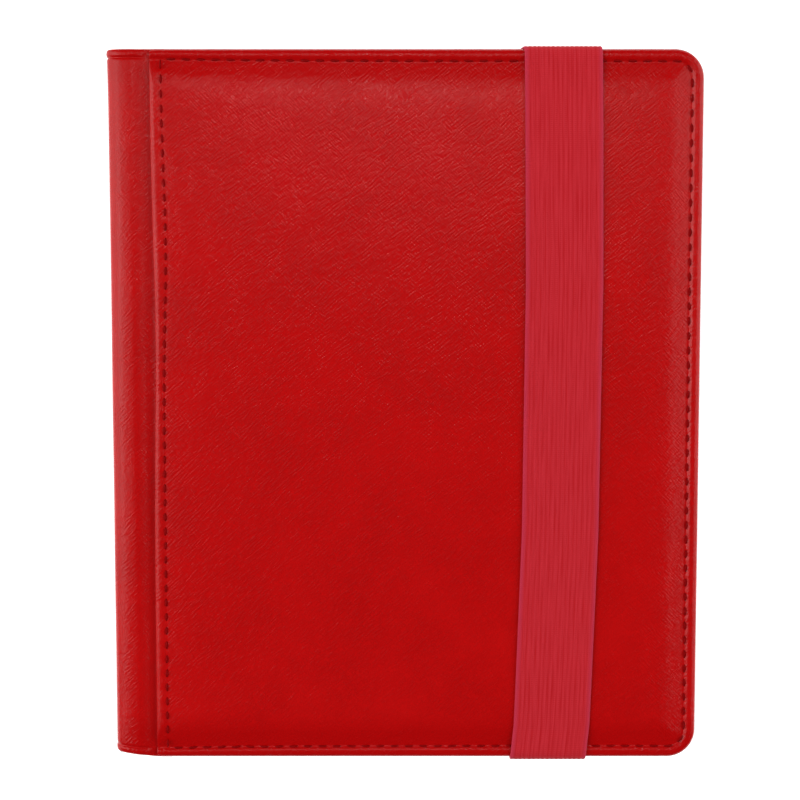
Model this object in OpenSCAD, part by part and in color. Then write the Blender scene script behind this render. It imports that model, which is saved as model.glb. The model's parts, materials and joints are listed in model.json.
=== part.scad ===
// Side-loading card binder, lying closed on its back cover.
// +X runs from the spine to the fore edge, +Y from tail to head, +Z from back cover to front cover.
// Origin: centre of the closed binder's footprint, on the surface that it lies on.

/* [Covers] */
// Closed width, from spine to fore edge
cover_w = 186; // [170:1:200]
// Height of the covers, from tail to head
cover_h = 224; // [220:1:240]
// Thickness of the closed binder without its strap
closed_t = 28; // [26:0.5:34]
// Radius of the fore-edge corners
corner_r = 9; // [6:0.5:11]
// Width of the strip between the spine and the padded panel
gutter_w = 14; // [13:0.5:18]
// Width of the low rim around the padded panel
rim_w = 4.6; // [4.6:0.1:6]
// Distance of the stitching from the cover's edge
stitch_in = 3.8; // [3.4:0.1:3.9]

/* [Layers] */
// Leatherette thickness
skin_t = 0.8; // [0.6:0.1:1]
// Cover board thickness
board_t = 2; // [1.6:0.1:2.4]
// Foam pad thickness
foam_t = 1.3; // [1:0.1:1.6]
// Lining cloth thickness
lining_t = 0.5; // [0.4:0.1:0.6]

/* [Pages] */
// Height of a leaf, which holds two pocket rows
leaf_h = 194; // [190:1:198]
// Thickness of a leaf's backing sheet
backing_t = 0.15; // [0.1:0.01:0.2]
// Thickness of a pocket's clear film
film_t = 0.1; // [0.08:0.01:0.12]
// Depth of an empty pocket
pocket_gap = 0.12; // [0.08:0.01:0.14]
// Width of a pocket's weld lines
weld_w = 2.5; // [2:0.1:3]

/* [Strap] */
// Width of the elastic strap
strap_w = 24; // [18:1:30]
// Thickness of the elastic strap
strap_t = 0.9; // [0.8:0.1:1.3]
// Distance of the strap's centre line from the origin, towards the fore edge
strap_x = 50; // [30:1:60]

/* [Hidden] */
$fn = 48;

red = "firebrick";
black = "dimgray";
overlap = 1;                 // how far a cutter runs past the face it opens

// Levels through one cover, counted outwards from the face that meets the pages
turn_in_t = skin_t;
board_z = lining_t + turn_in_t;
rim_z = board_z + board_t;
foam_z = rim_z + foam_t;
cover_t = foam_z + skin_t;

// Places along X
spine_x = -cover_w / 2;      // outer face of the spine
fore_x = cover_w / 2;        // fore edge
fold_x = spine_x + gutter_w; // folded edge of the padded panel
seam_in = 3.8;               // seam stitching, from that folded edge
strip_end_x = fold_x + 5;    // how far the gutter strip runs under the panel
turn_in_w = 12;              // width of the leatherette turned in round the board
filler_half_h = cover_h / 2 - turn_in_w;
lining_in = 1.8;             // lining, from the cover's edge
thread_w = 0.9;
thread_t = 0.3;

// Hinges: the axes lie this far inside the spine's outer face and the covers' outer faces
hinge_in = 3;
hinge_x = spine_x + hinge_in;
strip_start_x = hinge_x + 4;

// Spine layers, counted inwards along X from the spine's outer face
spine_edge_r = 2;            // round edges of the spine's skin
spine_skin_x = spine_x + skin_t;
spine_board_x = spine_skin_x + 1;
spine_board_t = 1.6;
spine_lining_x = spine_board_x + spine_board_t;
comb_x = spine_lining_x + 0.6;
comb_base_t = 1;
comb_stub_l = 3;
leaf_hinge_x = comb_x + comb_base_t + comb_stub_l;

// Leaves
leaf_count = 20;             // one node for each
flex_w = 9;                  // scored, flexible start of a leaf
margin_w = 24;               // plain margin between that and the first pocket
leaf_x = leaf_hinge_x + flex_w;
pocket_x = leaf_x + margin_w;
leaf_end_x = fore_x - 9;
column_w = (leaf_end_x - pocket_x) / 2;
column_gap = 0.75;           // between one column's weld and the next column's open edge
row_h = leaf_h / 2;
page_clear = 1;              // between the covers' linings and the middle of the outermost leaves
leaf_low_z = cover_t + page_clear;
leaf_high_z = closed_t - cover_t - page_clear;
leaf_pitch = (leaf_high_z - leaf_low_z) / (leaf_count - 1);
leaf_chamfer = 2;

// Strap
strap_clear = 0.2;           // between the strap and the front cover
side_clear = 0.2;            // between the strap and the covers' edges
strap_side_y = cover_h / 2 + side_clear;
strap_split_z = closed_t / 2;
tab_l = 12.5;                // sewn end of the strap

// ---- shared shapes ----

// A panel from x0 to the fore edge, inset on its three free sides, with round fore corners
module fore_panel(x0, inset) {
    r = corner_r - inset;
    x1 = fore_x - inset;
    h = cover_h - 2 * inset;
    translate([x0, -h / 2]) square([x1 - r - x0, h]);
    translate([x1 - 2 * r, -h / 2 + r]) square([2 * r, h - 2 * r]);
    for (side = [-1, 1])
        translate([x1 - r, side * (h / 2 - r)]) circle(r);
}

module fore_slab(x0, inset, low, high) {
    translate([0, 0, low]) linear_extrude(high - low) fore_panel(x0, inset);
}

// A slab across the cover with square corners
module strip_slab(x0, x1, half_h, low, high) {
    translate([x0, -half_h, low]) cube([x1 - x0, 2 * half_h, high - low]);
}

// Three-sided line of stitching, from the seam round the fore edge and back
module edge_thread_line(low, high) {
    x0 = fold_x + seam_in + thread_w / 2 + 0.3;
    difference() {
        fore_slab(x0, stitch_in - thread_w / 2, low, high);
        fore_slab(x0 - overlap, stitch_in + thread_w / 2, low - overlap, high + overlap);
    }
}

// Both covers are drawn with their pages' side at z = 0 and placed by these two
module as_front() { translate([0, 0, closed_t - cover_t]) children(); }
module as_back() { translate([0, 0, cover_t]) mirror([0, 0, 1]) children(); }

// ---- one cover ----

module cover_skin() {
    difference() {
        union() {
            fore_slab(fold_x, 0, lining_t, rim_z + skin_t);
            fore_slab(fold_x + rim_w, rim_w, rim_z, cover_t);
        }
        fore_slab(fold_x - overlap, skin_t, board_z, rim_z);
        strip_slab(strip_end_x - overlap, fore_x - turn_in_w, filler_half_h, 0, rim_z);
        strip_slab(fold_x - overlap, strip_end_x, cover_h / 2 - skin_t, 0, rim_z);
        fore_slab(fold_x + rim_w + skin_t, rim_w + skin_t, rim_z - overlap, foam_z);
    }
}

module cover_foam() {
    fore_slab(fold_x + rim_w + skin_t, rim_w + skin_t, rim_z, foam_z);
}

module cover_board() {
    fore_slab(strip_end_x, skin_t, board_z, rim_z);
}

module cover_filler() {
    strip_slab(strip_end_x, fore_x - turn_in_w, filler_half_h, lining_t, board_z);
}

module cover_lining() {
    difference() {
        fore_slab(strip_start_x, lining_in, 0, lining_t);
        edge_thread_line(-overlap, thread_t);
    }
}

module cover_gutter_strip() {
    strip_slab(strip_start_x, strip_end_x, cover_h / 2 - skin_t, lining_t, rim_z);
}

module cover_needle_thread() {
    edge_thread_line(rim_z + skin_t, rim_z + skin_t + thread_t);
}

module cover_bobbin_thread() {
    edge_thread_line(0, thread_t);
}

module cover_seam_thread() {
    seam_x = fold_x + seam_in;
    low = rim_z + skin_t;
    strip_slab(seam_x - thread_w / 2, seam_x + thread_w / 2, cover_h / 2 - 1, low, low + thread_t);
}

// ---- back cover ----

module back_leatherette() { color(red) as_back() cover_skin(); }
module back_foam_pad() { color("whitesmoke") as_back() cover_foam(); }
module back_board() { color("darkgray") as_back() cover_board(); }
module back_filler_card() { color("dimgray") as_back() cover_filler(); }
module back_lining() { color(black) as_back() cover_lining(); }
module back_gutter_strip() { color(red) as_back() cover_gutter_strip(); }
module back_needle_thread() { color("darkred") as_back() cover_needle_thread(); }
module back_bobbin_thread() { color("darkred") as_back() cover_bobbin_thread(); }
module back_seam_thread() { color("darkred") as_back() cover_seam_thread(); }

// ---- front cover ----

module front_leatherette() { color(red) as_front() cover_skin(); }
module front_foam_pad() { color("whitesmoke") as_front() cover_foam(); }
module front_board() { color("darkgray") as_front() cover_board(); }
module front_filler_card() { color("dimgray") as_front() cover_filler(); }
module front_lining() { color(black) as_front() cover_lining(); }
module front_gutter_strip() { color(red) as_front() cover_gutter_strip(); }
module front_needle_thread() { color("darkred") as_front() cover_needle_thread(); }
module front_bobbin_thread() { color("darkred") as_front() cover_bobbin_thread(); }
module front_seam_thread() { color("darkred") as_front() cover_seam_thread(); }

// ---- spine ----

// A bar along the spine, from x0 to x1, whose ends stop short of the hinge axes by end_in
module spine_bar(x0, x1, end_in, half_h) {
    low = hinge_in + end_in;
    translate([x0, -half_h, low]) cube([x1 - x0, 2 * half_h, closed_t - 2 * low]);
}

// The outer skin turns inwards at both hinge axes with a round edge
module spine_leatherette() {
    r = spine_edge_r;
    color(red) rotate([90, 0, 0]) translate([0, 0, -cover_h / 2]) linear_extrude(cover_h)
        difference() {
            union() {
                translate([spine_x, hinge_in + r]) square([r, closed_t - 2 * (hinge_in + r)]);
                for (z = [hinge_in + r, closed_t - hinge_in - r])
                    translate([spine_x + r, z]) circle(r);
            }
            translate([spine_skin_x, hinge_in + r])
                square([2 * r, closed_t - 2 * (hinge_in + r)]);
            translate([spine_x + r, 0]) square([2 * r, closed_t]);
            for (z = [hinge_in + r, closed_t - hinge_in - r])
                translate([spine_x + r, z]) circle(r - skin_t);
        }
}

// The spine's leatherette runs on across each hinge axis and bends there
module hinge_wrap(low) {
    color(red) strip_slab(spine_x + spine_edge_r, strip_start_x, cover_h / 2, low, low + skin_t);
}

module back_hinge_wrap() { hinge_wrap(hinge_in); }
module front_hinge_wrap() { hinge_wrap(closed_t - hinge_in - skin_t); }

module spine_foam_pad() {
    color("whitesmoke") spine_bar(spine_skin_x, spine_board_x, 2, cover_h / 2 - 1);
}

module spine_board() {
    color("darkgray") spine_bar(spine_board_x, spine_lining_x, 1.5, cover_h / 2 - 1);
}

module spine_lining() {
    color(black) spine_bar(spine_lining_x, comb_x, 1, cover_h / 2 - 1);
}

// The strip that holds the leaves: a base with one stub for each leaf's scored edge
module page_binding_comb() {
    color(black) {
        spine_bar(comb_x, comb_x + comb_base_t, 2.5, leaf_h / 2);
        for (i = [0 : leaf_count - 1])
            translate([comb_x + comb_base_t, -leaf_h / 2, leaf_z(i) - backing_t / 2])
                cube([comb_stub_l, leaf_h, backing_t]);
    }
}

// ---- leaves ----

// The scored start of every leaf, which bends when the leaf turns
module leaf_scored_strips() {
    color("slategray") for (i = [0 : leaf_count - 1])
        translate([leaf_hinge_x, -leaf_h / 2, leaf_z(i) - backing_t / 2])
            cube([flex_w, leaf_h, backing_t]);
}

// Height of leaf i, counted from the front cover
function leaf_z(i) = leaf_high_z - i * leaf_pitch;

module leaf_backing() {
    half_h = leaf_h / 2;
    c = leaf_chamfer;
    translate([0, 0, -backing_t / 2]) linear_extrude(backing_t) polygon([
        [leaf_x, -half_h], [leaf_end_x - c, -half_h], [leaf_end_x, c - half_h],
        [leaf_end_x, half_h - c], [leaf_end_x - c, half_h], [leaf_x, half_h]
    ]);
}

// Clear film and weld lines on one face: two columns, each open towards the spine
module leaf_pockets() {
    weld_z = backing_t / 2;
    film_z = weld_z + pocket_gap;
    inner_h = row_h - 1.5 * weld_w;
    end_in = leaf_chamfer / 2;
    for (row_y = [-leaf_h / 2, -weld_w / 2, leaf_h / 2 - weld_w])
        translate([pocket_x, row_y, weld_z])
            cube([2 * column_w - leaf_chamfer, weld_w, pocket_gap]);
    for (column = [0, 1]) {
        x0 = pocket_x + column * (column_w + column_gap / 2);
        x1 = column == 0 ? pocket_x + column_w - column_gap / 2 : leaf_end_x - end_in;
        translate([x0, end_in - leaf_h / 2, film_z]) cube([x1 - x0, leaf_h - 2 * end_in, film_t]);
        for (low_y = [weld_w - leaf_h / 2, weld_w / 2])
            translate([x1 - weld_w, low_y, weld_z]) cube([weld_w, inner_h, pocket_gap]);
    }
}

module leaf(i) {
    color("slategray") translate([0, 0, leaf_z(i)]) {
        leaf_backing();
        leaf_pockets();
        mirror([0, 0, 1]) leaf_pockets();
    }
}

// ---- strap ----

module strap_end(side) {
    color("crimson") translate([strap_x - strap_w / 2, 0, 0]) {
        mirror([0, side < 0 ? 1 : 0, 0]) union() {
            translate([0, strap_side_y - tab_l, cover_t])
                cube([strap_w, tab_l + strap_t, strap_t]);
            translate([0, strap_side_y, cover_t])
                cube([strap_w, strap_t, strap_split_z - cover_t]);
        }
    }
}

module strap_end_head() { strap_end(1); }
module strap_end_tail() { strap_end(-1); }

// Two rectangles of stitching that hold the strap's ends to the back cover
module strap_tack_thread() {
    tack_w = strap_w - 4;
    tack_l = tab_l - 3.5;
    color("darkred") for (side = [-1, 1])
        translate([strap_x, side * (strap_side_y - tab_l / 2), cover_t + strap_t])
            linear_extrude(thread_t) difference() {
                square([tack_w, tack_l], center = true);
                square([tack_w - 2 * thread_w, tack_l - 2 * thread_w], center = true);
            }
}

module strap_band() {
    top_z = closed_t + strap_clear + strap_t;
    out_y = strap_side_y + strap_t;
    c = strap_t;
    color("crimson") translate([strap_x - strap_w / 2, 0, 0])
        rotate([90, 0, 90]) linear_extrude(strap_w) polygon([
            [-out_y, strap_split_z], [-out_y, top_z - c], [c - out_y, top_z],
            [out_y - c, top_z], [out_y, top_z - c], [out_y, strap_split_z],
            [strap_side_y, strap_split_z], [strap_side_y, top_z - strap_t],
            [-strap_side_y, top_z - strap_t], [-strap_side_y, strap_split_z]
        ]);
}

// ---- what is drawn ----

back_leatherette();
back_foam_pad();
back_board();
back_filler_card();
back_lining();
back_gutter_strip();
back_needle_thread();
back_bobbin_thread();
back_seam_thread();
strap_end_head();
strap_end_tail();
strap_tack_thread();
spine_leatherette();
spine_foam_pad();
spine_board();
spine_lining();
back_hinge_wrap();
front_hinge_wrap();
page_binding_comb();
leaf_scored_strips();
front_leatherette();
front_foam_pad();
front_board();
front_filler_card();
front_lining();
front_gutter_strip();
front_needle_thread();
front_bobbin_thread();
front_seam_thread();
strap_band();
leaf(0);  // leaf_01
leaf(1);  // leaf_02
leaf(2);  // leaf_03
leaf(3);  // leaf_04
leaf(4);  // leaf_05
leaf(5);  // leaf_06
leaf(6);  // leaf_07
leaf(7);  // leaf_08
leaf(8);  // leaf_09
leaf(9);  // leaf_10
leaf(10);  // leaf_11
leaf(11);  // leaf_12
leaf(12);  // leaf_13
leaf(13);  // leaf_14
leaf(14);  // leaf_15
leaf(15);  // leaf_16
leaf(16);  // leaf_17
leaf(17);  // leaf_18
leaf(18);  // leaf_19
leaf(19);  // leaf_20
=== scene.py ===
import itertools
import json
import math

import bpy
import numpy as np
from mathutils import Matrix, Vector


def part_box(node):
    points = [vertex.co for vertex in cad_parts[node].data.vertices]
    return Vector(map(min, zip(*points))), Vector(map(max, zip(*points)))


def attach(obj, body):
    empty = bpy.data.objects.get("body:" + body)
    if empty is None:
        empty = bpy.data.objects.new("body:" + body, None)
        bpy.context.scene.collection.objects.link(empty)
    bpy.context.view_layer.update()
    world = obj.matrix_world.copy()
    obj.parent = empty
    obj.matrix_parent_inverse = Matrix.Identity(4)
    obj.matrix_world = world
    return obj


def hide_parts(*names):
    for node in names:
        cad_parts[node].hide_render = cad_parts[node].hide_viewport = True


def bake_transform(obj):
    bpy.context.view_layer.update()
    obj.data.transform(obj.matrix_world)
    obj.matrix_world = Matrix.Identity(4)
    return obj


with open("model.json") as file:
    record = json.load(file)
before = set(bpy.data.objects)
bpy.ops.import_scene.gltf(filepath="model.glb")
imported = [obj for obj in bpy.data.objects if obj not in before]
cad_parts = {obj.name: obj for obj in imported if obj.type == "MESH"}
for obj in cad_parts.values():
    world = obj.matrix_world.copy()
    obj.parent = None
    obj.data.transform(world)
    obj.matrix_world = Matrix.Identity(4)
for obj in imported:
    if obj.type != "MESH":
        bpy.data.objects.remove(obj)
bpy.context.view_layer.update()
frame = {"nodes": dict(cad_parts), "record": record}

# Lengths are in millimetres, in the frame's own axes, until new_mesh() makes a mesh of them.
MM = 0.001

# ---------------------------------------------------------------- places, from the frame


def box_mm(node):
    """The low and high corners of a CAD node's box."""
    low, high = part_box(node)
    return np.array(low) / MM, np.array(high) / MM


skin_low, skin_high = box_mm("front_leatherette")
lining_low, lining_high = box_mm("front_lining")
gutter_low, gutter_high = box_mm("front_gutter_strip")
spine_lining_low, spine_lining_high = box_mm("spine_lining")
tab_low, tab_high = box_mm("strap_end_head")
scored_low, scored_high = box_mm("leaf_scored_strips")

CLOSED_T = skin_high[2]
HALF_H = skin_high[1]
FOLD_X = skin_low[0]
FORE_X = skin_high[0]
SPINE_X = box_mm("spine_leatherette")[0][0]
COMB_TOP = box_mm("page_binding_comb")[1][2]
STRAP_TOP = box_mm("strap_band")[1][2]
COVER_T = CLOSED_T - lining_low[2]
LINING_T = lining_high[2] - lining_low[2]
RIM_Z = gutter_high[2] - lining_low[2]   # the board's outer face, counted from the lining's inner face
CORNER_R = 9.0
FOLD_CORNER_R = 1.4
STITCH_IN = 3.85                         # the stitch line's distance from the free edges
SEAM_IN = 3.8                            # and the seam's from the folded edge
STITCH_PITCH = 4.6
LEAVES = sorted(n for n in frame["nodes"] if n.startswith("leaf_") and n != "leaf_scored_strips")

# ---------------------------------------------------------------- mesh helpers


def new_mesh(name, points, faces, material, uv):
    """A smooth mesh object from points in millimetres. uv has a pair of millimetres for each point."""
    mesh = bpy.data.meshes.new(name)
    mesh.from_pydata((np.asarray(points, float) * MM).tolist(), [], faces)
    mesh.update()
    mesh.polygons.foreach_set("use_smooth", [True] * len(mesh.polygons))
    layer = mesh.uv_layers.new(name="Surface")
    corner = np.zeros(len(mesh.loops), np.int64)
    mesh.loops.foreach_get("vertex_index", corner)
    layer.data.foreach_set("uv", np.asarray(uv, np.float32)[corner].ravel())
    mesh.materials.append(material)
    piece = bpy.data.objects.new(name, mesh)
    bpy.context.scene.collection.objects.link(piece)
    return piece


def grid_faces(rows, columns, wrap=False, start=0):
    """Quads of a grid whose points run row by row. wrap joins the last column to the first."""
    i = np.arange(rows - 1)[:, None] * columns + start
    j = np.arange(columns if wrap else columns - 1)[None, :]
    k = (j + 1) % columns
    quads = np.stack([i + j, i + k, i + columns + k, i + columns + j], -1)
    return quads.reshape(-1, 4).tolist()


def border(index):
    """The indices of a grid's outer points, in turn, starting along its first column."""
    return np.concatenate([index[:-1, 0], index[-1, :-1], index[:0:-1, -1], index[0, :0:-1]])


def ring_faces(ring, other):
    """Quads between two closed rings that have the same number of points."""
    return np.stack([ring, other, np.roll(other, -1), np.roll(ring, -1)], -1).tolist()


def sheet_faces(index, rim):
    """A thin sheet of two grids, one after the other, joined by quads along rim, the first grid's border."""
    rows, columns = index.shape
    faces = grid_faces(rows, columns)
    faces += turned(grid_faces(rows, columns, start=index.size))
    return faces + ring_faces(rim, rim + index.size)


def turned(faces):
    """The same faces, looking the other way."""
    return [face[::-1] for face in faces]


def mirrored(points):
    """Takes points of the front half to the back half."""
    points[:, 2] = CLOSED_T - points[:, 2]
    return points


def smooth_curve(knots, step):
    """Points every step or so along a Catmull-Rom curve through the knots."""
    knots = np.asarray(knots, float)
    padded = np.vstack([2 * knots[0] - knots[1], knots, 2 * knots[-1] - knots[-2]])
    points = []
    for a, b, c, d in zip(padded, padded[1:], padded[2:], padded[3:]):
        count = max(1, int(round(np.linalg.norm(c - b) / step)))
        for t in np.arange(count) / count:
            points.append(0.5 * (2 * b + (c - a) * t + (2 * a - 5 * b + 4 * c - d) * t ** 2
                                 + (3 * b - a - 3 * c + d) * t ** 3))
    return np.array(points + [knots[-1]])


def lengths_along(points):
    """Each point's distance from the first one, along the line."""
    steps = np.linalg.norm(np.diff(points, axis=0), axis=1)
    return np.concatenate([[0], np.cumsum(steps)])


def normals(path):
    """Unit vectors at right angles to a line in a plane."""
    ahead = np.gradient(path, axis=0)
    ahead /= np.linalg.norm(ahead, axis=1, keepdims=True)
    return np.stack([ahead[:, 1], -ahead[:, 0]], -1)


def eased(t):
    """0 below 0, 1 above 1, and a smooth step between."""
    t = np.clip(t, 0, 1)
    return t * t * (3 - 2 * t)


def ripple(x, y, seed, wave=60.0):
    """Smooth, repeatable unevenness between about -1 and 1."""
    random = np.random.default_rng(seed)
    total = np.zeros(np.broadcast(x, y).shape)
    waves = 7
    for _ in range(waves):
        angle, phase = random.uniform(0, 2 * math.pi, 2)
        size = wave * random.uniform(0.6, 1.9)
        total += np.sin((x * math.cos(angle) + y * math.sin(angle)) * 2 * math.pi / size + phase)
    return total / waves


def spread(low, high, step):
    """Even places from low to high, about a step apart."""
    return np.linspace(low, high, max(2, int(round(abs(high - low) / step)) + 1))


# ---------------------------------------------------------------- materials


class Nodes:
    """A short way to write a procedural material: every call adds one node and returns its output."""

    def __init__(self, name):
        self.material = bpy.data.materials.new(name)
        self.material.use_nodes = True
        self.tree = self.material.node_tree
        self.shader = self.tree.nodes["Principled BSDF"]

    def add(self, kind, output=0, props=None, **inputs):
        node = self.tree.nodes.new("ShaderNode" + kind)
        for key, value in (props or {}).items():
            setattr(node, key, value)
        for key, value in inputs.items():
            name = key.replace("_", " ")
            socket = node.inputs[int(key[1:])] if key[0] == "i" and key[1:].isdigit() else node.inputs[name]
            self.put(socket, value)
        return node.outputs[output]

    def put(self, socket, value):
        if isinstance(value, bpy.types.NodeSocket):
            self.tree.links.new(value, socket)
        else:
            socket.default_value = value

    def set(self, **inputs):
        for key, value in inputs.items():
            self.put(self.shader.inputs[key.replace("_", " ")], value)

    def math(self, operation, a, b=0.0, c=0.0):
        return self.add("Math", props={"operation": operation}, i0=a, i1=b, i2=c)

    def weighted(self, a, share_a, b, share_b):
        """The sum of two values, each times its own number."""
        return self.math("ADD", self.math("MULTIPLY", a, share_a), self.math("MULTIPLY", b, share_b))

    def surface(self):
        """Millimetres along the piece's surface, from its own map."""
        return self.add("UVMap", props={"uv_map": "Surface"})

    def place(self, scale=1000.0):
        """The piece's own place, in millimetres."""
        coordinates = self.add("TexCoord", output=3)
        return self.add("VectorMath", props={"operation": "SCALE"}, i0=coordinates, Scale=scale)

    def split(self, vector):
        node = self.add("SeparateXYZ", Vector=vector).node
        return node.outputs[0], node.outputs[1], node.outputs[2]

    def noise(self, vector, scale, detail=3.0, roughness=0.55, distortion=0.0):
        return self.add("TexNoise", Vector=vector, Scale=scale, Detail=detail, Roughness=roughness,
                        Distortion=distortion)

    def wave(self, along, period):
        """A sine between 0 and 1 along a coordinate."""
        turn = self.math("MULTIPLY", along, 2 * math.pi / period)
        return self.math("MULTIPLY_ADD", self.math("SINE", turn), 0.5, 0.5)

    def streaks(self, x, y, degrees, spacing, length, seed):
        """Noise drawn out along one direction: short, uneven lines, between about 0 and 1."""
        c, s = math.cos(math.radians(degrees)), math.sin(math.radians(degrees))
        along = self.weighted(x, c / length, y, s / length)
        across = self.weighted(y, c / spacing, x, -s / spacing)
        place = self.add("CombineXYZ", X=along, Y=across, Z=float(seed))
        return self.span(self.noise(place, 1.0, 0.6, 0.4), 0.0, 1.0, 0.32, 0.68)

    def span(self, factor, low, high, start=0.0, end=1.0):
        return self.add("MapRange", Value=factor, From_Min=start, From_Max=end, To_Min=low, To_Max=high)

    def mix(self, factor, a, b):
        node = self.add("Mix", output=2, props={"data_type": "RGBA"}, i0=factor).node
        self.put(node.inputs[6], a)
        self.put(node.inputs[7], b)
        return node.outputs[2]

    def bump(self, height, depth_mm):
        return self.add("Bump", Height=height, Distance=depth_mm * MM, Strength=1.0)


def colour(red, green, blue):
    """A display colour from 0 to 255 as the linear one that a shader takes."""
    values = [v / 255 for v in (red, green, blue)]
    return tuple(v / 12.92 if v <= 0.04045 else ((v + 0.055) / 1.055) ** 2.4 for v in values) + (1.0,)


GRAIN = 0.52      # the width of a pressed diagonal line
RISING, FALLING = 41, -46      # degrees
HEAD_TAIL_PAINTED_SHADE = (HALF_H - 14, HALF_H - 8)      # painted shade: the tone darkens towards the head and tail between these distances from the middle


def leatherette(name, base, worn, deep_and_shade):
    """Pressed leatherette: short uneven lines along both diagonals, the falling ones in patches, and painted
    shade that darkens it towards the head and tail.
    """
    n = Nodes(name)
    flat = n.surface()
    x, y, _ = n.split(flat)
    wander = n.span(n.noise(flat, 0.08, 1.0), -0.6, 0.6)
    x = n.math("ADD", x, wander)
    rising = n.streaks(x, y, RISING, GRAIN, 2.8, 3)
    falling = n.streaks(x, y, FALLING, GRAIN, 2.2, 7)
    patches = n.noise(flat, 0.035, 3.0, 0.6)
    shares = n.span(n.noise(flat, 0.16, 2.0), 0.25, 0.85, 0.35, 0.65)
    lines = n.math("MULTIPLY_ADD", rising, 0.6, n.math("MULTIPLY", n.math("MULTIPLY", falling, shares), 0.7))
    pores = n.noise(flat, 2.4, 2.0, 0.6)
    height = n.math("MULTIPLY_ADD", pores, 0.12, lines)
    # the deeper colour serves twice: as random darker patches here, and as painted shade at the head and tail
    # below
    tone = n.mix(n.span(patches, 0.0, 1.0, 0.3, 0.7), deep_and_shade, base)
    tone = n.mix(n.span(lines, 0.0, 0.7, 0.3, 1.0), tone, worn)
    # painted shade: the tone turns to the deeper colour near the head and tail ends
    tone = n.mix(n.span(n.math("ABSOLUTE", y), 0.0, 0.7, *HEAD_TAIL_PAINTED_SHADE), tone, deep_and_shade)
    gloss = n.math("ADD", n.span(patches, 0.03, -0.03, 0.35, 0.65), n.span(lines, 0.3, 0.14))
    n.set(Base_Color=tone, Roughness=gloss, Normal=n.bump(height, 0.062), Specular_IOR_Level=0.16)
    return n.material


def thread(name, base, light):
    """Twisted sewing thread."""
    n = Nodes(name)
    x, y, _ = n.split(n.surface())
    twist = n.wave(n.math("ADD", x, n.math("MULTIPLY", y, 0.7)), 0.42)
    fuzz = n.noise(n.place(), 3.5, 2.0)
    tone = n.mix(n.span(n.math("MULTIPLY", twist, fuzz), 0.0, 1.0, 0.1, 0.6), base, light)
    n.set(Base_Color=tone, Roughness=n.span(fuzz, 0.5, 0.75), Normal=n.bump(twist, 0.05),
          Specular_IOR_Level=0.05)
    return n.material


def elastic(name, base, edge, light):
    """Knitted elastic: the ribs are in the mesh, and the knit and the odd paler threads are here."""
    n = Nodes(name)
    along, across, _ = n.split(n.surface())
    threads = n.streaks(along, across, 0, 0.36, 14.0, 5)
    picks = n.wave(n.math("ADD", along, n.span(n.noise(n.surface(), 1.1, 1.0), -0.1, 0.1)), 0.62)
    cords = n.wave(across, RIB_PITCH)
    fuzz = n.noise(n.place(), 2.4, 3.0, 0.65)
    knit = n.math("ADD", n.math("MULTIPLY", picks, 0.55), n.math("MULTIPLY", fuzz, 0.45))
    side = n.span(n.math("ABSOLUTE", across), 0.0, 1.0, BAND_W / 2 - 1.6, BAND_W / 2 - 0.3)
    tone = n.mix(n.span(n.math("MULTIPLY", knit, cords), 0.0, 0.6, 0.0, 0.75), base, light)
    tone = n.mix(n.math("MULTIPLY", threads, 0.55), tone, light)
    tone = n.mix(side, tone, edge)
    n.set(Base_Color=tone, Roughness=n.span(fuzz, 0.68, 0.9), Normal=n.bump(knit, 0.07),
          Specular_IOR_Level=0.12, Sheen_Weight=0.05, Sheen_Roughness=0.5)
    return n.material


def cloth(name, base, light):
    """Brushed black lining cloth with a faint plain weave."""
    n = Nodes(name)
    x, y, _ = n.split(n.surface())
    weave = n.math("MULTIPLY", n.wave(x, 0.5), n.wave(y, 0.5))
    nap = n.noise(n.surface(), 1.6, 4.0, 0.65)
    clouds = n.noise(n.surface(), 0.05, 3.0)
    tone = n.mix(n.span(n.math("MULTIPLY", nap, clouds), 0.0, 1.0, 0.12, 0.4), base, light)
    height = n.math("ADD", n.math("MULTIPLY", weave, 0.5), nap)
    n.set(Base_Color=tone, Roughness=n.span(nap, 0.75, 0.95), Normal=n.bump(height, 0.05),
          Sheen_Weight=0.25, Sheen_Roughness=0.45)
    return n.material


def board(name, base, fleck):
    """Grey board made of pressed fibres."""
    n = Nodes(name)
    place = n.place()
    fibres = n.noise(place, 1.8, 4.0, 0.7, 1.5)
    flecks = n.add("TexVoronoi", Vector=place, Scale=0.5)
    tone = n.mix(n.span(flecks, 1.0, 0.0, 0.0, 0.35), n.mix(fibres, base, fleck), base)
    n.set(Base_Color=tone, Roughness=n.span(fibres, 0.8, 0.95), Normal=n.bump(fibres, 0.08))
    return n.material


def foam(name, base, cell):
    """Soft foam with open cells."""
    n = Nodes(name)
    cells = n.add("TexVoronoi", Vector=n.place(), Scale=1.6)
    n.set(Base_Color=n.mix(cells, cell, base), Roughness=n.span(cells, 0.95, 0.8), Normal=n.bump(cells, 0.2))
    return n.material


def moulded(name, base, light):
    """Matt black moulded plastic with a fine spark-eroded texture."""
    n = Nodes(name)
    place = n.place()
    spark = n.noise(place, 4.0, 3.0, 0.6)
    smear = n.noise(place, 0.06, 3.0)
    n.set(Base_Color=n.mix(smear, base, light), Roughness=n.span(spark, 0.4, 0.6), Normal=n.bump(spark, 0.03))
    return n.material


def backing(name, base, light):
    """The leaves' black backing sheet: a fine calendered weave."""
    n = Nodes(name)
    x, y, _ = n.split(n.surface())
    weave = n.math("MULTIPLY", n.wave(n.math("ADD", x, y), 0.7), n.wave(n.math("SUBTRACT", x, y), 0.7))
    haze = n.noise(n.surface(), 0.09, 3.0)
    tone = n.mix(n.span(haze, 0.0, 0.8, 0.3, 0.7), base, light)
    n.set(Base_Color=tone, Roughness=n.span(haze, 0.42, 0.6), Normal=n.bump(weave, 0.025))
    return n.material


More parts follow.
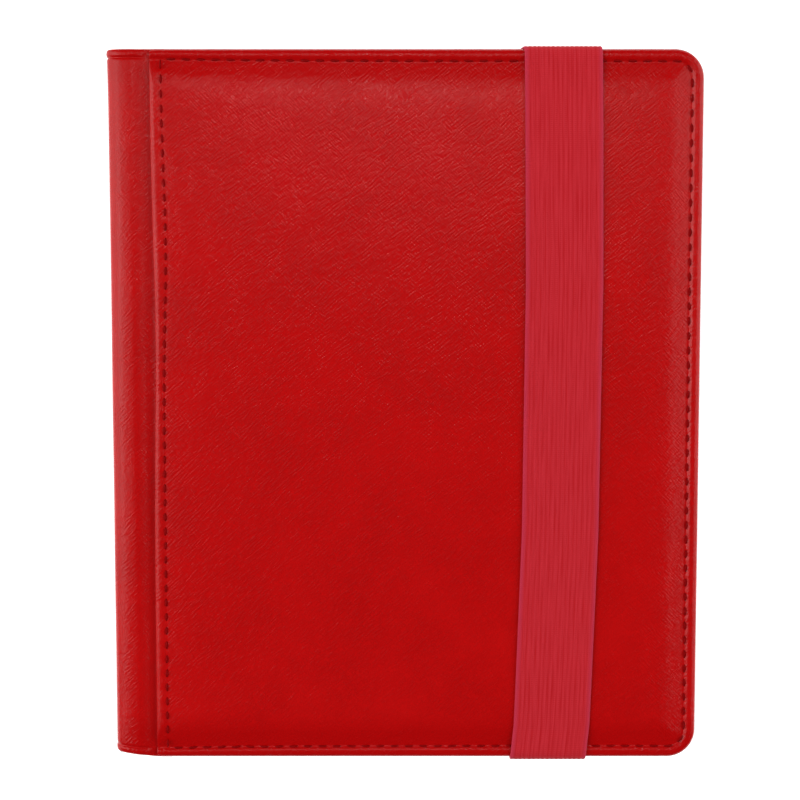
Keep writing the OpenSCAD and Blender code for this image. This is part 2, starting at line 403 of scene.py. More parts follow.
def clear_film(name, tint):
    """Clear pocket film with a faint orange peel and a little haze."""
    n = Nodes(name)
    peel = n.noise(n.surface(), 0.12, 2.0)
    haze = n.noise(n.surface(), 0.03, 3.0)
    n.set(Base_Color=n.mix(haze, tint, colour(236, 240, 244)), Roughness=n.span(haze, 0.08, 0.22),
          Normal=n.bump(peel, 0.12), Alpha=0.16, IOR=1.49)
    return n.material


def weld(name, base, light):
    """Embossed heat-weld lines, with small raised squares."""
    n = Nodes(name)
    x, y, _ = n.split(n.surface())
    squares = n.math("MULTIPLY", n.wave(x, 0.8), n.wave(y, 0.8))
    n.set(Base_Color=n.mix(squares, base, light), Roughness=n.span(squares, 0.5, 0.3),
          Normal=n.bump(squares, 0.06))
    return n.material


def paper_floor(name, base, shade):
    """White paper that glows a little, so that it stays white round the binder's edges."""
    n = Nodes(name)
    grain = n.noise(n.place(), 0.05, 3.0)
    n.set(Base_Color=n.mix(grain, shade, base), Roughness=n.span(grain, 0.85, 0.95),
          Normal=n.bump(grain, 0.02), Emission_Color=(1, 1, 1, 1), Emission_Strength=0.55)
    return n.material


RIB_PITCH = 1.45
RIB_DEPTH = 0.045
BAND_W = 24.1
STRAP_CLEAR = 0.2      # between the strap and the covers' ends in the CAD part
STRAP_T = tab_high[1] - HALF_H - STRAP_CLEAR

RED = leatherette("red_leatherette", colour(177, 7, 8), colour(183, 9, 10), colour(163, 1, 2))
THREAD = thread("dark_red_thread", colour(120, 0, 2), colour(146, 2, 5))
ELASTIC = elastic("red_elastic", colour(172, 16, 25), colour(180, 42, 64), colour(194, 42, 54))
LINING = cloth("black_lining_cloth", colour(22, 22, 24), colour(52, 52, 56))
BOARD = board("grey_board", colour(150, 144, 134), colour(112, 108, 102))
FOAM = foam("white_foam", colour(236, 232, 222), colour(206, 200, 186))
PLASTIC = moulded("black_binding_plastic", colour(24, 24, 26), colour(38, 38, 41))
BACKING = backing("black_backing_sheet", colour(20, 20, 22), colour(34, 34, 37))
FILM = clear_film("clear_pocket_film", colour(214, 220, 228))
WELD = weld("weld_line", colour(30, 30, 33), colour(60, 60, 64))

# ---------------------------------------------------------------- covers

EDGE_ROLL = 1.5
BORDER_W = 8.0       # the skin's grid is closer in this border
BORDER_STEP = 0.42
PANEL_STEP = 0.92


def border_lines(length):
    """Distances from both ends of a side: close together in the rolled border, then even."""
    roll = EDGE_ROLL * (1 - np.cos(np.linspace(0, math.pi / 2, 6)))
    near = np.concatenate([roll, np.arange(EDGE_ROLL + 0.4, BORDER_W, BORDER_STEP)])
    middle = spread(BORDER_W, length - BORDER_W, PANEL_STEP)
    return np.concatenate([near, middle, length - near[::-1]])


def rounded(x, y, low, high, radius_low, radius_high):
    """Bends a grid's lines round its corners, so that each one keeps its distance from the border."""
    x, y = x.copy(), y.copy()
    for x_end, radius, inwards in ((low[0], radius_low, 1), (high[0], radius_high, -1)):
        for y_end, upwards in ((low[1], 1), (high[1], -1)):
            a, b = (x - x_end) * inwards, (y - y_end) * upwards
            near = (a < radius) & (b < radius)
            ring, along = np.minimum(a, b), np.maximum(a, b)
            left = np.maximum(radius - ring, 1e-9)
            angle = math.pi / 4 * (along - ring) / left
            u = radius - left * np.cos(math.pi / 4 - angle)
            v = radius - left * np.sin(math.pi / 4 - angle)
            swap = b < a
            x = np.where(near, x_end + inwards * np.where(swap, v, u), x)
            y = np.where(near, y_end + upwards * np.where(swap, u, v), y)
    return x, y


def rim_share(x):
    """The rim narrows towards the fold: 1 near the fore edge, more where it is narrower."""
    return 1 + 0.24 * np.exp(-(x - FOLD_X) / 26)


def fold_sway(y):
    """How far the hand-laid fold bows towards the fore edge."""
    return 0.95 * np.exp(-((y - 22) / 40) ** 2)


def seam_sway(y):
    """How far the seam bows the same way."""
    return 1.05 * np.exp(-((y - 52) / 30) ** 2) - 0.3


def swayed(x, y):
    """Moves points near the fold with it, and those further on with the seam, dying out into the panel."""
    inset = np.maximum(x - FOLD_X, 0)
    share = np.clip(inset / SEAM_IN, 0, 1)
    shift = fold_sway(y) * (1 - share) + seam_sway(y) * share
    return x + shift * np.exp(-np.maximum(inset - SEAM_IN, 0) / 12)


def stitch_line():
    """The stitches of the three free edges, and those of the seam: rows of x, y and direction."""
    r = CORNER_R - STITCH_IN
    x0 = FOLD_X + SEAM_IN + 0.6
    x1, y1 = FORE_X - STITCH_IN, HALF_H - STITCH_IN
    arc = np.linspace(0, math.pi / 2, 24)
    head = np.array([[x1 - r + r * math.sin(t), y1 - r + r * math.cos(t)] for t in arc])
    tail = head[::-1] * [1, -1]
    start_x = spread(x0, x1 - r, 6.0)[:-1]
    start = np.column_stack([start_x, HALF_H - STITCH_IN / rim_share(start_x)])
    line = np.vstack([start, head, tail, start[::-1] * [1, -1]])
    seam_y = spread(HALF_H - 2.6, 2.6 - HALF_H, 4.0)
    return along_line(line), along_line(np.column_stack([FOLD_X + SEAM_IN + seam_sway(seam_y), seam_y]))


def along_line(line):
    """Centres and directions of stitches that fill a line evenly."""
    s = lengths_along(line)
    count = int(round(s[-1] / STITCH_PITCH))
    centres = (np.arange(count) + 0.5) * s[-1] / count
    at = np.stack([np.interp(centres, s, line[:, k]) for k in (0, 1)], -1)
    ahead = np.stack([np.interp(centres + 0.2, s, line[:, k]) - np.interp(centres - 0.2, s, line[:, k])
                      for k in (0, 1)], -1)
    return np.hstack([at, ahead / np.linalg.norm(ahead, axis=1, keepdims=True)])


EDGE_STITCHES, SEAM_STITCHES = stitch_line()
PLATEAU = COVER_T - 0.02
GROOVE_Z = RIM_Z + 0.52
SEAM_Z = 4.9
GROOVE_END = 4.3
# The foam's rounded border rises from the groove with these slopes, by distance from the edge
PILLOW_SLOPES = [(GROOVE_END, 0.18), (9, 0.18), (10.5, 0.11), (14, 0.06), (21, 0)]
# Height of the outer face over the cover's inner one, by distance from a free edge as far as the groove
RIM_ROLL = [(0, 2.2), (0.06, 2.7), (0.25, 3.3), (0.6, 3.95), (1.0, 4.24), (1.5, 4.38), (2.0, 4.42),
            (2.5, 4.4), (3.0, 4.27), (3.4, 4.06), (3.7, 3.9), (3.9, GROOVE_Z), (GROOVE_END, GROOVE_Z)]
# and by distance from the folded edge
FOLD_ROLL = [(0, 4.3), (0.08, 4.5), (0.25, 4.68), (0.5, 4.83), (0.8, 4.94), (1.2, 5.03), (1.6, 5.07),
             (2.0, 5.08), (2.6, 5.06), (3.1, 5.02), (3.5, 4.95), (3.8, SEAM_Z), (4.2, 4.93), (5, 4.98),
             (6.5, 5.05), (8, 5.11), (10, 5.17), (13, 5.25), (17, 5.32), (22, 5.365), (30, PLATEAU)]


def pillow_drop(d):
    """How far the foam's border lies below the plateau: its slopes, added up from the inner end."""
    total = np.zeros(np.shape(d))
    for (near, steep), (far, gentle) in zip(PILLOW_SLOPES, PILLOW_SLOPES[1:]):
        left = far - np.clip(d, near, far)
        total += left * (gentle + (steep - gentle) * left / (far - near) / 2)
    return total


def free_drop(d):
    """How far the outer face lies below the plateau at a distance from a free edge."""
    roll = PLATEAU - np.interp(d, *np.array(RIM_ROLL).T)
    return np.where(d < GROOVE_END, roll, np.minimum(pillow_drop(d), PLATEAU - GROOVE_Z))


def fold_drop(d):
    """The same at a distance from the folded edge."""
    return PLATEAU - np.interp(d, *np.array(FOLD_ROLL).T)


def stitch_ends(rows, side):
    """Where each stitch meets the next one (side 1) or the one before it (side -1)."""
    return rows[:, :2] + side * rows[:, 2:] * STITCH_PITCH / 2


def puckers():
    """Where the leather stands up between two stitches, a little outside the line: (x, y) pairs."""
    between = [stitch_ends(rows, 1) for rows in (EDGE_STITCHES, SEAM_STITCHES)]
    out = [np.stack([rows[:, 3] * turn, -rows[:, 2] * turn], -1)
           for rows, turn in ((EDGE_STITCHES, -1), (SEAM_STITCHES, 1))]
    return np.vstack([at + 0.8 * away for at, away in zip(between, out)])


PUCKERS = puckers()
HOLE_REACH = 1.35      # from a stitch's middle to its two needle holes
NEEDLE_HOLES = np.vstack([rows[:, :2] + side * rows[:, 2:] * HOLE_REACH
                          for rows in (EDGE_STITCHES, SEAM_STITCHES) for side in (-1, 1)])
LEAST_COVERING = RIM_Z + 0.2
BLEND_POWER = 5        # how sharply the free edges' shape meets the fold's
CROWN_POWER = 3.2
CROWN = 0.12           # how far the panel's border lies below its middle


def near_points(x, y, points, strength, width):
    """The sum of small round bumps at the points, worked out in parts to keep the arrays small."""
    total = np.zeros(len(x))
    for some in np.array_split(np.arange(len(x)), 24):
        gap = (x[some, None] - points[:, 0]) ** 2 + (y[some, None] - points[:, 1]) ** 2
        total[some] = strength * np.exp(-gap / width ** 2).sum(1)
    return total


def outer_height(x, y, inset_free, inset_fold, seed):
    """Height of a cover's outer face over its inner one."""
    down = (free_drop(inset_free) ** BLEND_POWER + fold_drop(inset_fold) ** BLEND_POWER) ** (1 / BLEND_POWER)
    u = np.abs(2 * (x - (FOLD_X + FORE_X) / 2) / (FORE_X - FOLD_X))
    v = np.abs(y / HALF_H)
    crown = (1 - u ** CROWN_POWER) * (1 - v ** CROWN_POWER)
    inner = np.clip((np.minimum(inset_free, inset_fold) - 4) / 16, 0, 1)
    uneven = 0.05 * ripple(x, y, seed, 70.0) + 0.025 * ripple(x, y, seed + 9, 24.0) - 0.075
    height = PLATEAU - down - CROWN * (1 - crown) * inner + uneven * inner
    near = np.minimum(inset_free, inset_fold) < 6
    height[near] += near_points(x[near], y[near], PUCKERS, strength=0.16, width=0.6)
    height[near] -= near_points(x[near], y[near], NEEDLE_HOLES, strength=0.1, width=0.55)
    return np.maximum(height, np.where(np.minimum(inset_free, inset_fold) > 1, LEAST_COVERING, 0))


def cover_skin(side):
    """The padded leatherette skin of one cover, closed underneath behind the lining."""
    xs = FOLD_X + border_lines(FORE_X - FOLD_X)
    ys = -HALF_H + border_lines(2 * HALF_H)
    gx, gy = np.meshgrid(xs, ys, indexing="ij")
    inset_fold = gx - FOLD_X
    x, y = rounded(gx, gy, (FOLD_X, -HALF_H), (FORE_X, HALF_H), FOLD_CORNER_R, CORNER_R)
    ends_in = np.minimum(gy + HALF_H, HALF_H - gy) * rim_share(gx)
    z = outer_height(x, y, np.minimum(FORE_X - gx, ends_in), inset_fold, 11 if side == "front" else 31)
    x = swayed(x, y)
    nx, ny = x.shape
    points = [np.stack([x, y, z], -1).reshape(-1, 3)]
    uv = [np.stack([x, y], -1).reshape(-1, 2)]
    faces = grid_faces(nx, ny)

    # round the border once, anticlockwise seen from outside
    loop = border(np.arange(nx * ny).reshape(nx, ny))
    edge = points[0][loop]
    ahead = np.roll(edge, -1, 0) - np.roll(edge, 1, 0)
    out = np.stack([ahead[:, 1], -ahead[:, 0]], -1)
    out /= np.linalg.norm(out, axis=1, keepdims=True)
    on_fold = (edge[:, 0] < FOLD_X + 1.2) & (np.abs(edge[:, 1]) < HALF_H - FOLD_CORNER_R)
    on_fold = on_fold[:, None].astype(float)
    under_z = LINING_T + 0.02
    free_under = [(0.0, 1.85), (0.12, 1.35), (0.45, 0.85), (1.0, 0.55), (2.2, under_z), (9.0, under_z)]
    fold_under = [(0.0, RIM_Z + 0.12), (0.12, RIM_Z + 0.03), (0.4, RIM_Z), (3.5, RIM_Z), (4.6, RIM_Z - 0.4),
                  (4.9, under_z)]
    start = nx * ny
    reach = 0.0
    previous = loop
    for (inset, height), (fold_inset, fold_height) in zip(free_under, fold_under):
        at = inset + (fold_inset - inset) * on_fold
        ring = np.hstack([edge[:, :2] - out * at, height + (fold_height - height) * on_fold])
        reach += 0.6
        points.append(ring)
        uv.append(edge[:, :2] + out * reach)
        current = start + np.arange(len(loop))
        faces += ring_faces(previous, current)
        previous, start = current, start + len(loop)
    faces.append(previous[::-1].tolist())
    points = to_cover(side, np.vstack(points))
    if side == "back":
        faces = turned(faces)
    piece = new_mesh(side + "_padded_skin", points, faces, RED, np.vstack(uv))
    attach(piece, side + "_cover")
    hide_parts(side + "_leatherette", side + "_foam_pad")
    return piece


def to_cover(side, points):
    """Takes points with z counted outwards from a cover's inner face to their place in the frame."""
    points = np.array(points, float)
    points[:, 2] = CLOSED_T - COVER_T + points[:, 2] if side == "front" else COVER_T - points[:, 2]
    return points


def stitches(name, side, rows, body, replaced, length, width, base, sunk, outwards=1):
    """One mesh of separate stitches on a face at base: bent beads of thread whose ends go down into it."""
    rings, sides = 7, 8
    t = np.linspace(-1, 1, rings)
    turn = np.arange(sides) * 2 * math.pi / sides
    points, faces, uv = [], [], []
    random = np.random.default_rng(len(rows))
    for k, (cx, cy, dx, dy) in enumerate(rows):
        skew = random.normal(0, 0.05)
        ax, ay = dx - dy * skew, dy + dx * skew
        half = length / 2 * (1 + random.normal(0, 0.03))
        thick = width / 2 * np.sqrt(np.maximum(1 - (np.abs(t) ** 3.0), 0.04))
        lift = sunk + 0.24 * (1 - t ** 2) - 0.2 * np.abs(t) ** 4
        for i in range(rings):
            for a in turn:
                across, up = thick[i] * math.cos(a), thick[i] * 0.72 * math.sin(a)
                points.append((cx + ax * half * t[i] - ay * across, cy + ay * half * t[i] + ax * across,
                               base + outwards * (lift[i] + up)))
                uv.append((half * t[i], a * width / 2))
        start = k * rings * sides
        faces += grid_faces(rings, sides, wrap=True, start=start)
        faces.append(list(range(start, start + sides))[::-1])
        faces.append(list(range(start + (rings - 1) * sides, start + rings * sides)))
    if (side == "back") == (outwards < 0):
        faces = turned(faces)
    piece = new_mesh(name, to_cover(side, points), faces, THREAD, uv)
    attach(piece, body)
    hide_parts(replaced)
    return piece


def cover_threads(side):
    """A cover's threads: the free edges' and the seam's outside, and the free edges' again inside."""
    body = side + "_cover"
    stitches(side + "_edge_stitches", side, EDGE_STITCHES, body, side + "_needle_thread",
             length=2.75, width=0.7, base=GROOVE_Z, sunk=0.16)
    stitches(side + "_seam_stitches", side, SEAM_STITCHES, body, side + "_seam_thread",
             length=2.75, width=0.7, base=SEAM_Z, sunk=0.06)
    stitches(side + "_inner_stitches", side, EDGE_STITCHES, body, side + "_bobbin_thread",
             length=3.15, width=0.8, base=0.1, sunk=0.02, outwards=-1)


# ---------------------------------------------------------------- spine

# Half of the spine's section, (x, z), from under the panel's fold round the hinge to the spine's middle
GUTTER_Z = gutter_high[2]
GUTTER_END = gutter_high[0] - 0.4
WRAP_OUTER = [(GUTTER_END, GUTTER_Z - 0.04), (FOLD_X + 1.6, GUTTER_Z - 0.04),
              (FOLD_X - 0.2, GUTTER_Z - 0.16), (FOLD_X - 1.8, GUTTER_Z - 0.02),
              (FOLD_X - 3.6, GUTTER_Z + 0.5), (FOLD_X - 5.4, GUTTER_Z + 0.88),
              (FOLD_X - 7.2, GUTTER_Z + 0.86), (SPINE_X + 4.2, GUTTER_Z + 0.56),
              (SPINE_X + 2.6, GUTTER_Z + 0.06), (SPINE_X + 1.3, GUTTER_Z - 0.85),
              (SPINE_X + 0.5, GUTTER_Z - 2.3), (SPINE_X + 0.1, GUTTER_Z - 4.6), (SPINE_X, GUTTER_Z - 7.5)]
WRAP_OUTER += [(SPINE_X, CLOSED_T / 2 + above) for above in (2, 0.8, 0.3, 0.1, 0)]
WRAP_INNER = [(spine_lining_low[0] - 0.05, CLOSED_T / 2),
              (spine_lining_low[0] - 0.05, spine_lining_high[2] - 0.6),
              (spine_lining_low[0] + 0.3, spine_lining_high[2] + 0.9),
              (gutter_low[0] - 1.6, gutter_low[2] + 1.5),
              (gutter_low[0] + 0.8, gutter_low[2] + 0.02), (GUTTER_END, gutter_low[2] + 0.02)]
END_IN = 0.15     # the turned ends stop this far inside the covers' ends
END_ROLL = 0.9
BEAD_IN = 1.5
CREASE_IN = 2.6


def end_relief(from_end):
    """How far the wrap lies in near its turned ends: the edge's roll, a raised bead and a crease."""
    roll = 1 - np.sqrt(np.clip(1 - (1 - from_end / END_ROLL) ** 2, 0, 1))
    sunk = 0.62 * roll * (from_end < END_ROLL)
    sunk += 0.34 * np.exp(-((from_end - CREASE_IN) / 0.36) ** 2)
    sunk -= 0.12 * np.exp(-((from_end - BEAD_IN) / 0.8) ** 2)
    return sunk


def spine_wrap(side):
    """One half of the spine's leatherette, from a gutter to the middle of the spine."""
    outer = smooth_curve(WRAP_OUTER, 0.55)
    inner = smooth_curve(WRAP_INNER, 1.1)
    section = np.vstack([outer, inner])
    half = HALF_H - END_IN
    ends = np.array([0, 0.12, 0.4, 0.8, 1.3, 1.8, 2.1, 2.4, 2.6, 2.8, 3.1, 3.5, 4.2, 5.6])
    y = np.concatenate([-half + ends, spread(-half + 8, half - 8, 2.4), half - ends[::-1]])
    from_end = half - np.abs(y)
    inwards = -np.vstack([normals(outer), normals(inner)])
    is_outer = np.arange(len(section)) < len(outer)
    total = lengths_along(outer)[-1]
    along = np.concatenate([lengths_along(outer), total + lengths_along(inner)])
    points, uv = [], []
    for py, down, end in zip(y, end_relief(from_end), from_end):
        soft = 0.07 * ripple(along, py, 5, 46.0) * eased((along - 8) / 6) * eased((total - along) / 6 + 0.2)
        amount = np.where(is_outer, down + soft, 0.0) * eased((along - 5.6) / 3)
        amount += np.where(is_outer, 0.0, max(0.0, 0.5 - end))
        place = section + inwards * amount[:, None]
        flare = 0.45 * (1 - math.exp(-(half - py) / 14)) - 0.15
        place[:, 0] += flare * eased((FOLD_X - 4 - place[:, 0]) / 7) * is_outer
        pulled = 1.5 * eased((FOLD_X + 2 - place[:, 0]) / 17) * math.exp(-(half + py) / 14)
        points.append(np.column_stack([place[:, 0], py + pulled, place[:, 1]]))
        uv.append(np.column_stack([-along + FOLD_X + 6.5, py + pulled]))
    columns = len(section)
    faces = turned(grid_faces(len(y), columns, wrap=True))
    last = (len(y) - 1) * columns
    faces.append(list(range(columns)))
    faces.append(list(range(last, last + columns))[::-1])
    points = np.vstack(points)
    if side == "back":
        points, faces = mirrored(points), turned(faces)
    piece = new_mesh(side + "_spine_wrap", points, faces, RED, np.vstack(uv))
    for end_face in list(piece.data.polygons)[-2:]:
        end_face.use_smooth = False
    start, end = (SPINE_X + 0.5, 0, CLOSED_T - 8.0), (FOLD_X - 4.5, 0, CLOSED_T - 1.5)
    hinge_blend(piece, side, start, end)
    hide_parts(side + "_gutter_strip", side + "_hinge_wrap",
                *(["spine_leatherette", "spine_foam_pad"] if side == "front" else []))
    return piece


def hinge_blend(piece, side, start, end):
    """Bakes the placement of a piece drawn for the front hinge, or of its mirror image for the back one, into
    its mesh; start and end are turned for the back hinge, but nothing bends the piece.
    """
    start, end = Vector(start) * MM, Vector(end) * MM
    if side == "front":
        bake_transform(piece)
    else:
        top = CLOSED_T * MM
        start.z, end.z = top - start.z, top - end.z
        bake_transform(piece)


# ---------------------------------------------------------------- linings


def lining(side):
    """The lining cloth of one cover, which runs on over the hinge to the middle of the spine."""
    mid = LINING_T / 2
    inner_z = CLOSED_T - COVER_T + mid
    spine_mid_x = (spine_lining_low[0] + spine_lining_high[0]) / 2
    cover_x = spread(lining_high[0], lining_low[0] + 1.0, 3.0)
    bend = smooth_curve([(lining_low[0] + 1.0, inner_z), (lining_low[0] - 0.6, inner_z + 0.25),
                         (lining_low[0] - 2.2, inner_z + 0.7), (spine_mid_x + 0.35, inner_z + 0.55),
                         (spine_mid_x, COMB_TOP + 0.1), (spine_mid_x, COMB_TOP - 3),
                         (spine_mid_x, CLOSED_T / 2)], 0.7)
    path = np.vstack([np.column_stack([cover_x, np.full(len(cover_x), inner_z)]), bend[1:]])
    along = lengths_along(path)
    half_h = lining_high[1]
    ends = np.array([0, 0.3, 0.9, 1.6, 3.0])
    y = np.concatenate([-half_h + ends, spread(5 - half_h, half_h - 5, 5.0), half_h - ends[::-1]])
    normal = normals(path)
    corner = CORNER_R - 1.8
    points, uv = [], []
    for face in (1, -1):
        for py in y:
            round_end = np.clip((corner - along) / corner, 0, 1)
            limit = half_h - corner * (1 - np.sqrt(np.clip(1 - round_end ** 2, 0, 1)))
            yy = py * limit / half_h
            edge = np.minimum(half_h - abs(py), along)
            thick = LINING_T / 2 * np.sqrt(np.clip(edge / 0.5, 0.05, 1))
            wave = 0.05 * ripple(along, py, 3, 40.0) * eased((edge - 3) / 6) * (along < 150)
            place = path + normal * (face * thick + wave)[:, None]
            points.append(np.column_stack([place[:, 0], yy, place[:, 1]]))
            uv.append(np.column_stack([along, yy]))
    index = np.arange(len(y) * len(path)).reshape(len(y), len(path))
    faces = sheet_faces(index, border(index.T))
    points = np.vstack(points)
    if side == "back":
        points, faces = mirrored(points), turned(faces)
    piece = new_mesh(side + "_lining_cloth", points, faces, LINING, np.vstack(uv))
    hinge_blend(piece, side, (spine_mid_x, 0, COMB_TOP + 0.3), (lining_low[0] + 0.8, 0, inner_z + 0.4))
    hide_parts(side + "_lining", *(["spine_lining"] if side == "front" else []))
    return piece


# ---------------------------------------------------------------- strap


def strap():
    """The elastic strap: one ribbed band, round the front cover and sewn inside the back one."""
    mid_z = STRAP_TOP - STRAP_T / 2
    flat_z = mid_z - 0.08
    tab_z = COVER_T + STRAP_T / 2
    rim_y = HALF_H + 0.06 + STRAP_T / 2
    rim_z = CLOSED_T - COVER_T + 4.47 + STRAP_T / 2
    half = [(tab_low[1], tab_z), (rim_y - 2.4, tab_z), (rim_y - 1.0, tab_z + 0.25),
            (rim_y - 0.25, tab_z + 1.1), (rim_y, tab_z + 2.6), (rim_y + 0.08, CLOSED_T / 2),
            (rim_y, rim_z - 3.4), (rim_y - 0.12, rim_z - 1.9), (rim_y - 0.55, rim_z - 0.85),
            (rim_y - 1.3, rim_z - 0.22), (rim_y - 2.4, rim_z + 0.06), (rim_y - 6.5, mid_z - 0.9),
            (rim_y - 10.5, mid_z - 0.7), (rim_y - 15.5, mid_z - 0.47), (rim_y - 20.5, mid_z - 0.28),
            (rim_y - 26.5, mid_z - 0.15), (rim_y - 36, flat_z), (rim_y - 50, flat_z),
            (rim_y - 70, flat_z), (rim_y - 95, flat_z), (0, flat_z)]
    head = smooth_curve(half, 1.5)
    path = np.vstack([head, (head * [-1, 1])[::-1][1:]])
    along = lengths_along(path)
    along -= along[-1] / 2
    lean = strap_centre(path[:, 0], path[:, 1])
    across = spread(-BAND_W / 2, BAND_W / 2, RIB_PITCH / 6)
    normal = normals(path)
    edge = np.clip((BAND_W / 2 - np.abs(across)) / 0.55, 0.0, 1)
    body = STRAP_T / 2 * (0.45 + 0.55 * np.sqrt(np.clip(1 - (1 - edge) ** 2, 0, 1)))
    rib = RIB_DEPTH * np.cos(across * 2 * math.pi / RIB_PITCH) * edge
    points, uv = [], []
    for face in (1, -1):
        for c, h, r in zip(across, body, rib):
            rise = face * (h - 0.05 + r * (1 if face > 0 else 0.6))
            place = path + normal * rise
            points.append(np.column_stack([lean + c, place[:, 0], place[:, 1]]))
            uv.append(np.column_stack([along, np.full(len(path), c)]))
    index = np.arange(len(across) * len(path)).reshape(len(across), len(path))
    faces = sheet_faces(index, border(index.T))
    piece = new_mesh("elastic_strap", np.vstack(points), faces, ELASTIC, np.vstack(uv))
    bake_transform(piece)
    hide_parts("strap_band", "strap_end_head", "strap_end_tail")
    return piece


def strap_centre(y, z):
    """The strap's centre line bows a little towards the fore edge and leans back at its tail."""
    knots_y = [-HALF_H - 1, -HALF_H * 0.9, -HALF_H * 0.35, HALF_H * 0.35, HALF_H + 1]
    centre = np.interp(y, knots_y, [45.7, 46.9, 49.1, 49.9, 49.2])
    below = np.clip((CLOSED_T - z) / CLOSED_T, 0, 1)
    return centre - 2.4 * below * (y > 0) + 0.6 * below * (y < 0)


TACK_IN = 2.6
TACK_PITCH = 2.9


def strap_tacks():
    """The two sewn rectangles that hold the strap's ends."""
    low, high = box_mm("strap_tack_thread")
    rows = []
    for end in (-1, 1):
        y_out, y_in = end * (high[1] - 0.5), end * (tab_low[1] + 2.2)
        centre = float(strap_centre(np.array([end * HALF_H]), np.array([COVER_T]))[0])
        w = BAND_W / 2 - TACK_IN
        corners = np.array([[centre - w, y_out], [centre + w, y_out], [centre + w, y_in], [centre - w, y_in]])
        for a, b in zip(corners, np.roll(corners, -1, 0)):
            count = max(1, int(round(np.linalg.norm(b - a) / TACK_PITCH)))
            d = (b - a) / np.linalg.norm(b - a)
            for k in range(count):
                rows.append([*(a + (b - a) * (k + 0.5) / count), *d])
    stitches("strap_tack_stitches", "back", rows, "back_cover", "strap_tack_thread",
             length=2.1, width=0.7, base=0.05 - STRAP_T, sunk=0.02, outwards=-1)


# ---------------------------------------------------------------- leaves

SHEET_HALF = 0.075     # half the backing's thickness
POCKETS_IN = 24.0      # from the scored strips to the first column of pockets
POCKET_GAP = 0.4       # on both sides of the line between the columns
POCKET_MARGIN = 0.6
WELD_W = 2.5
PUFF = 0.17


def leaf(node):
    """One leaf: a backing sheet from the comb outwards, and eight clear pockets."""
    low, high = box_mm(node)
    mid_z = (low[2] + high[2]) / 2
    half_h = high[1]
    start, rigid, end = scored_low[0] - 1.6, low[0], high[0]
    seed = int(node[-2:])
    xs = np.concatenate([spread(start, rigid, 1.2), spread(rigid, end, 9.0)[1:]])
    ys = spread(-half_h, half_h, 9.0)
    grid_x, grid_y = np.meshgrid(xs, ys, indexing="ij")
    px, py = rounded(grid_x, grid_y, (start, -half_h), (end, half_h), 0.001, 3.0)
    points, uv = [], []
    for face in (1, -1):
        pz = np.full(px.shape, mid_z + face * SHEET_HALF)
        points.append(np.stack([px, py, pz], -1).reshape(-1, 3))
        uv.append(np.stack([px, py], -1).reshape(-1, 2))
    index = np.arange(px.size).reshape(px.shape)
    faces = sheet_faces(index, border(index))
    sheet = new_mesh(node + "_backing", np.vstack(points), faces, BACKING, np.vstack(uv))
    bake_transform(sheet)
    names = [node] + (["leaf_scored_strips"] if seed == 1 else [])
    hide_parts(*names)
    pockets(node, mid_z, half_h, end, seed)


def pockets(node, mid_z, half_h, end, seed):
    """Clear film on both faces, puffed a little over each pocket and pressed down along the weld lines."""
    first = scored_high[0] + POCKETS_IN
    column_w = (end - first) / 2
    row_h = half_h - POCKET_MARGIN
    points, uv, film_faces, weld_faces = [], [], [], []
    count = 0
    for face, column, row in itertools.product((1, -1), range(2), range(2)):
        x0 = first + column * column_w + (POCKET_GAP if column else 0.0)
        x1 = first + (column + 1) * column_w - (POCKET_MARGIN if column else POCKET_GAP)
        y0 = -half_h + POCKET_MARGIN + row * row_h
        y1 = y0 + half_h - POCKET_MARGIN
        xs = np.concatenate([spread(x0, x1 - WELD_W, 10.0), [x1 - WELD_W + 0.5, x1]])
        ys = np.concatenate([[y0, y0 + WELD_W - 0.5], spread(y0 + WELD_W, y1 - WELD_W, 10.0),
                             [y1 - WELD_W + 0.5, y1]])
        gx, gy = np.meshgrid(xs, ys, indexing="ij")
        inside = np.minimum(np.minimum(gy - y0, y1 - gy), x1 - gx) - WELD_W
        lift = 0.03 + PUFF * eased((inside + 0.4) / 6) * (1 + 0.12 * ripple(gx, gy, seed, 50.0))
        gz = mid_z + face * (SHEET_HALF + lift)
        points.append(np.stack([gx, gy, gz], -1).reshape(-1, 3))
        uv.append(np.stack([gx, gy], -1).reshape(-1, 2))
        quads = np.array(grid_faces(*gx.shape, start=count))
        if face < 0:
            quads = quads[:, ::-1]
        flat = (inside.reshape(-1)[quads - count] < 0.01).all(1)
        film_faces += quads[~flat].tolist()
        weld_faces += quads[flat].tolist()
        count += gx.size
    piece = new_mesh(node + "_pockets", np.vstack(points), film_faces + weld_faces, FILM, np.vstack(uv))
    piece.data.materials.append(WELD)
    slots = [0] * len(film_faces) + [1] * len(weld_faces)
    piece.data.polygons.foreach_set("material_index", slots)
    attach(piece, node)


# ---------------------------------------------------------------- CAD pieces that stay

KEPT = {"greyboard": BOARD, "foam": FOAM, "black_plastic": PLASTIC, "lining_cloth": LINING}


def dress_cad_pieces():
    """Gives the CAD pieces that stay in sight the material of their slot."""
    slots = {s["node"]: s["material_slot"] for s in frame["record"]["subparts"]}
    for name, node in frame["nodes"].items():
        material = KEPT.get(slots[name])
        if material:
            node.data.materials.clear()
            node.data.materials.append(material)


# ---------------------------------------------------------------- floor, lights, camera


def area_light(name, place, target, size, power):
    """A white rectangular light, sizes and places in metres, power in watts."""
    light = bpy.data.lights.new(name, "AREA")
    light.shape = "RECTANGLE"
    light.size, light.size_y = size
    light.energy = power
    lamp = bpy.data.objects.new(name, light)
    lamp.location = place
    lamp.rotation_euler = (Vector(target) - Vector(place)).to_track_quat("-Z", "Y").to_euler()
    bpy.context.scene.collection.objects.link(lamp)


FLOOR_HALF = 40.0
FLOOR_Z = -0.0002
WORLD_STRENGTH = 0.12


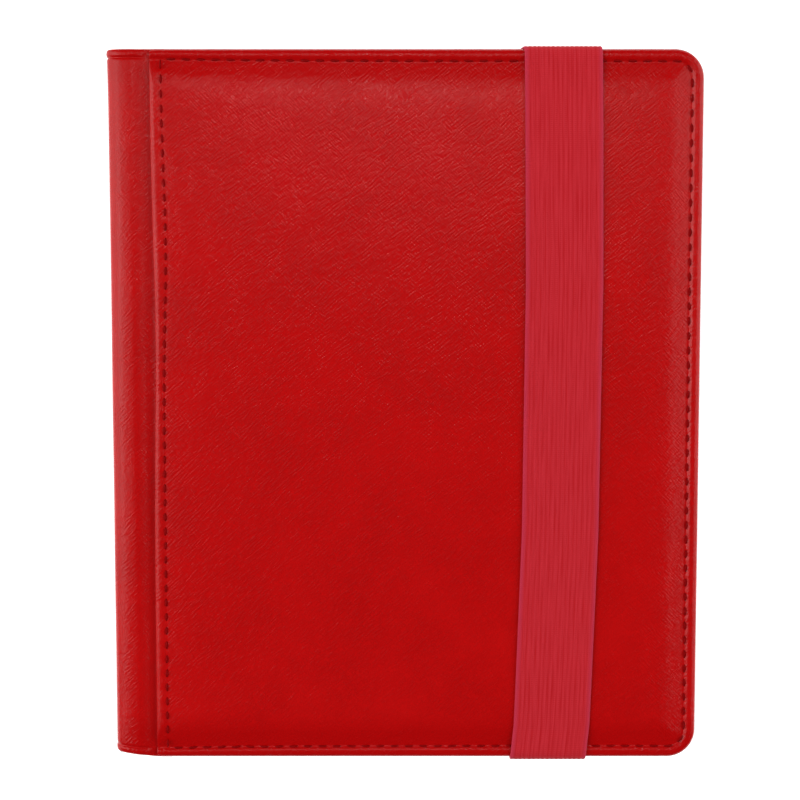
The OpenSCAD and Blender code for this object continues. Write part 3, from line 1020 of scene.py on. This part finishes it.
def studio():
    """A white paper floor, a dim white world and five soft lights, in metres."""
    mesh = bpy.data.meshes.new("floor")
    corners = [(FLOOR_HALF * x, FLOOR_HALF * y, 0) for x, y in ((-1, -1), (1, -1), (1, 1), (-1, 1))]
    mesh.from_pydata(corners, [], [(0, 1, 2, 3)])
    floor = bpy.data.objects.new("floor", mesh)
    floor.location.z = FLOOR_Z
    mesh.materials.append(paper_floor("floor_paper", colour(252, 252, 252), colour(248, 248, 249)))
    bpy.context.scene.collection.objects.link(floor)
    world = bpy.data.worlds.new("studio")
    world.use_nodes = True
    background = world.node_tree.nodes["Background"]
    background.inputs["Color"].default_value = (1, 1, 1, 1)
    background.inputs["Strength"].default_value = WORLD_STRENGTH
    bpy.context.scene.world = world
    bpy.context.scene.view_settings.view_transform = "Standard"
    area_light("left_bank", (-2.1, 0.35, 1.2), (0, 0, 0), (2.1, 3.0), 62.5)
    area_light("right_bank", (2.1, 0.35, 1.2), (0, 0, 0), (2.1, 3.0), 60.0)
    area_light("spine_softbox", (-1.0, 0.0, 1.4), (0, 0, 0), (0.65, 1.0), 4.4)
    area_light("fore_strip", (0.7, 0.3, 1.4), (0, 0, 0), (0.25, 1.2), 0.3)
    area_light("head_strip", (0.0, 0.42, 1.6), (0, 0, 0), (0.68, 0.13), 2.7)


CAMERA_TARGET = (-1.4, 3.0, CLOSED_T)
CAMERA_BACK = (0, 48.6, 555.5)      # from the target to the camera


def camera():
    """Above the binder and a little beyond its head, so that the head is the nearer end."""
    data = bpy.data.cameras.new("camera")
    data.sensor_width = 36.0
    data.lens = 80.0
    cam = bpy.data.objects.new("camera", data)
    target = Vector(CAMERA_TARGET) * MM
    back = Vector(CAMERA_BACK) * MM
    cam.location = target + back
    ahead = -back.normalized()
    right = ahead.cross(Vector((0, 1, 0))).normalized()
    up = right.cross(ahead)
    cam.matrix_world = Matrix.Translation(target + back) @ Matrix((right, up, -ahead)).transposed().to_4x4()
    bpy.context.scene.collection.objects.link(cam)
    bpy.context.scene.camera = cam


camera()
studio()
dress_cad_pieces()
for cover_side in ("back", "front"):
    cover_skin(cover_side)
    cover_threads(cover_side)
    spine_wrap(cover_side)
    lining(cover_side)
strap()
strap_tacks()
for leaf_node in LEAVES:
    leaf(leaf_node)
